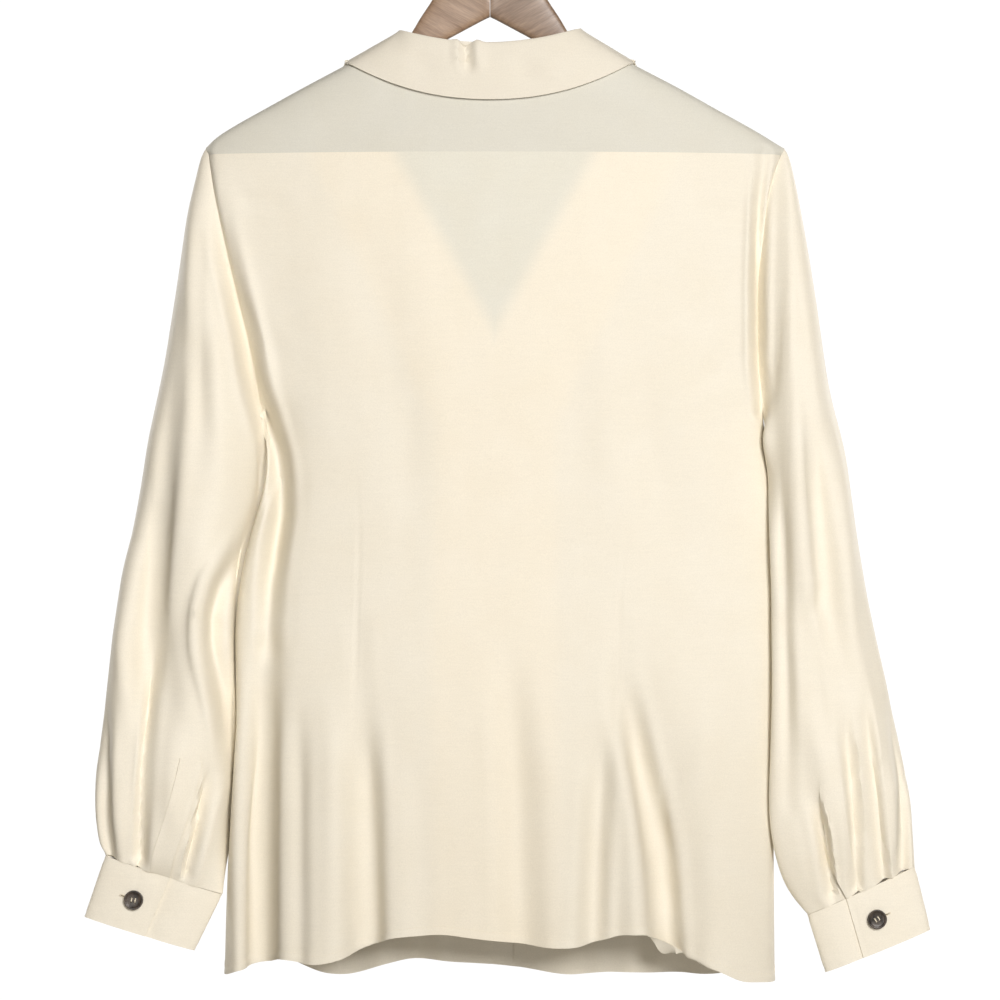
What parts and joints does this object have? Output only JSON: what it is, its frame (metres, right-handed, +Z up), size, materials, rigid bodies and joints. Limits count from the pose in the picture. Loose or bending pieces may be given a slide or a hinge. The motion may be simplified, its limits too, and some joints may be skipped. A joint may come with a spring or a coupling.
{
  "type": "silk blouse on a wooden clothes hanger",
  "caption": "Long-sleeved V-neck button-front silk blouse with a soft rolled collar, back yoke and buttoned cuffs, hung on a wooden hanger with a wire hook.",
  "frame": {"origin": "inside top of the hanger's hook, where the rail touches it", "axes": "+Z up; -Y is the blouse's front and +Y its back; +X is the wearer's left"},
  "size_m": [0.66, 0.0921, 0.8728],
  "materials": {
    "silk": "soft sheen, cream",
    "button": "dark brown, satin polish",
    "hanger_wood": "brown stain, satin lacquer",
    "hanger_steel": "polished wire"
  },
  "bodies": {
    "root": {"yoke": "silk", "back": "silk", "front_left": "silk", "front_right": "silk", "collar": "silk", "sleeve_left": "silk", "sleeve_right": "silk", "placket_left": "silk", "placket_right": "silk", "cuff_left": "silk", "cuff_right": "silk", "front_button_1": "button", "front_button_2": "button", "front_button_3": "button", "front_button_4": "button", "front_button_5": "button", "front_button_6": "button", "cuff_button_left": "button", "cuff_button_right": "button", "hanger_arm_left": "hanger_wood", "hanger_arm_right": "hanger_wood", "hanger_hook": "hanger_steel"}
  },
  "joints": []
}
